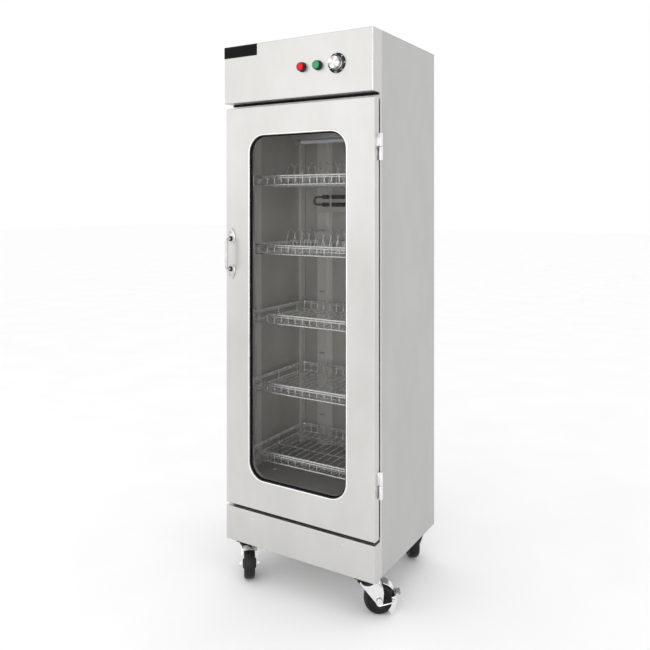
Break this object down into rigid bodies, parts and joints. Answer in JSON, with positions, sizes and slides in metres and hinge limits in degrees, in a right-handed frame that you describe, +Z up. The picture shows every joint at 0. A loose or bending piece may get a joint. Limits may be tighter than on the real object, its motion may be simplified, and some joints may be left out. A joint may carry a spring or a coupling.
{
  "type": "uv sterilizer cabinet",
  "caption": "Tall stainless steel sterilizing and drying cabinet with a glazed hinged door, wire baskets, a UV lamp, a finned heater and swivel casters.",
  "frame": {"origin": "centre of the bounding box, on the floor the wheels stand on", "axes": "+Z up, -Y towards the user at the door, +X towards the hinge side"},
  "size_m": [0.6894, 0.5564, 1.9],
  "materials": {
    "front_skin": "brushed stainless steel, fine vertical grain",
    "side_skin": "brushed stainless steel, fine vertical grain",
    "liner": "matt stainless steel",
    "chrome_wire": "bright chromed wire",
    "chrome": "bright chrome plate",
    "dark_steel": "heat-darkened steel",
    "rubber": "black rubber",
    "tyre": "moulded black rubber tyre",
    "black_plastic": "moulded black plastic",
    "red_plastic": "glossy red plastic",
    "green_plastic": "glossy green plastic",
    "tinted_glass": "grey tinted toughened glass",
    "lamp_glass": "clear quartz lamp tube"
  },
  "bodies": {
    "cabinet": {"side_panel_left": "side_skin", "side_panel_right": "side_skin", "back_panel": "side_skin", "roof_panel": "side_skin", "base_pan": "side_skin", "face_frame": "front_skin", "header_panel": "front_skin", "plinth_panel": "front_skin", "liner_left": "liner", "liner_right": "liner", "liner_back": "liner", "liner_floor": "liner", "liner_ceiling": "liner", "upright_front_left": "liner", "upright_front_right": "liner", "upright_rear_left": "liner", "upright_rear_right": "liner", "back_channel_left": "liner", "back_channel_right": "liner", "basket_1": "chrome_wire", "basket_2": "chrome_wire", "basket_3": "chrome_wire", "basket_4": "chrome_wire", "basket_5": "chrome_wire", "lamp_fitting": "front_skin", "uv_lamp_tube": "lamp_glass", "heating_element": "dark_steel", "heater_plate": "liner", "red_button_base": "black_plastic", "green_button_base": "black_plastic", "dial_plate": "black_plastic", "plate_rack_1": "chrome_wire", "plate_rack_2": "chrome_wire", "hinge_top_frame_leaf": "chrome", "hinge_bottom_frame_leaf": "chrome", "caster_front_left_head": "black_plastic", "caster_front_right_head": "black_plastic", "caster_rear_left_head": "black_plastic", "caster_rear_right_head": "black_plastic"},
    "door": {"door_outer": "front_skin", "door_inner": "front_skin", "window_gasket": "rubber", "window_glass": "tinted_glass", "door_seal": "rubber", "handle": "chrome", "hinge_top_door_leaf": "chrome", "hinge_bottom_door_leaf": "chrome"},
    "thermostat_knob": {"thermostat_knob": "chrome"},
    "red_button": {"red_button": "red_plastic"},
    "green_button": {"green_button": "green_plastic"},
    "caster_front_left_fork": {"caster_front_left_fork": "chrome"},
    "caster_front_left_wheel": {"caster_front_left_wheel": "tyre"},
    "caster_front_right_fork": {"caster_front_right_fork": "chrome"},
    "caster_front_right_wheel": {"caster_front_right_wheel": "tyre"},
    "caster_front_right_brake": {"caster_front_right_brake_pedal": "chrome"},
    "caster_rear_left_fork": {"caster_rear_left_fork": "chrome"},
    "caster_rear_left_wheel": {"caster_rear_left_wheel": "tyre"},
    "caster_rear_left_brake": {"caster_rear_left_brake_pedal": "chrome"},
    "caster_rear_right_fork": {"caster_rear_right_fork": "chrome"},
    "caster_rear_right_wheel": {"caster_rear_right_wheel": "tyre"}
  },
  "joints": [
    {"name": "door_hinge", "type": "hinge", "parent": "cabinet", "child": "door", "pos_m": [0.3074, -0.21223, 0.983], "axis": [0, 0, 1], "range_deg": [0, 180]},
    {"name": "thermostat_turn", "type": "hinge", "parent": "cabinet", "child": "thermostat_knob", "pos_m": [0.17, -0.26023, 1.796], "axis": [0, 1, 0], "range_deg": [0, 300]},
    {"name": "red_button_press", "type": "slide", "parent": "cabinet", "child": "red_button", "axis": [0, 1, 0], "range_m": [0, 0.0025], "stiffness_N_per_m": 900},
    {"name": "green_button_press", "type": "slide", "parent": "cabinet", "child": "green_button", "axis": [0, 1, 0], "range_m": [0, 0.0025], "stiffness_N_per_m": 900},
    {"name": "caster_front_left_swivel", "type": "hinge", "parent": "cabinet", "child": "caster_front_left_fork", "pos_m": [-0.242, -0.18023, 0.11], "axis": [0, 0, 1], "continuous": true},
    {"name": "caster_front_left_roll", "type": "hinge", "parent": "caster_front_left_fork", "child": "caster_front_left_wheel", "pos_m": [-0.2186, -0.21017, 0.05], "axis": [0.788, 0.6157, 0], "continuous": true},
    {"name": "caster_front_right_swivel", "type": "hinge", "parent": "cabinet", "child": "caster_front_right_fork", "pos_m": [0.242, -0.18023, 0.11], "axis": [0, 0, 1], "continuous": true},
    {"name": "caster_front_right_roll", "type": "hinge", "parent": "caster_front_right_fork", "child": "caster_front_right_wheel", "pos_m": [0.27457, -0.16066, 0.05], "axis": [-0.515, 0.8572, 0], "continuous": true},
    {"name": "caster_front_right_brake_press", "type": "hinge", "parent": "caster_front_right_fork", "child": "caster_front_right_brake", "pos_m": [0.27457, -0.16066, 0.05], "axis": [-0.515, 0.8572, 0], "range_deg": [0, 8]},
    {"name": "caster_rear_left_swivel", "type": "hinge", "parent": "cabinet", "child": "caster_rear_left_fork", "pos_m": [-0.242, 0.19977, 0.11], "axis": [0, 0, 1], "continuous": true},
    {"name": "caster_rear_left_roll", "type": "hinge", "parent": "caster_rear_left_fork", "child": "caster_rear_left_wheel", "pos_m": [-0.27457, 0.1802, 0.05], "axis": [0.515, -0.8572, 0], "continuous": true},
    {"name": "caster_rear_left_brake_press", "type": "hinge", "parent": "caster_rear_left_fork", "child": "caster_rear_left_brake", "pos_m": [-0.27457, 0.1802, 0.05], "axis": [0.515, -0.8572, 0], "range_deg": [0, 8]},
    {"name": "caster_rear_right_swivel", "type": "hinge", "parent": "cabinet", "child": "caster_rear_right_fork", "pos_m": [0.242, 0.19977, 0.11], "axis": [0, 0, 1], "continuous": true},
    {"name": "caster_rear_right_roll", "type": "hinge", "parent": "caster_rear_right_fork", "child": "caster_rear_right_wheel", "pos_m": [0.21809, 0.2293, 0.05], "axis": [-0.7771, -0.6293, 0], "continuous": true}
  ]
}
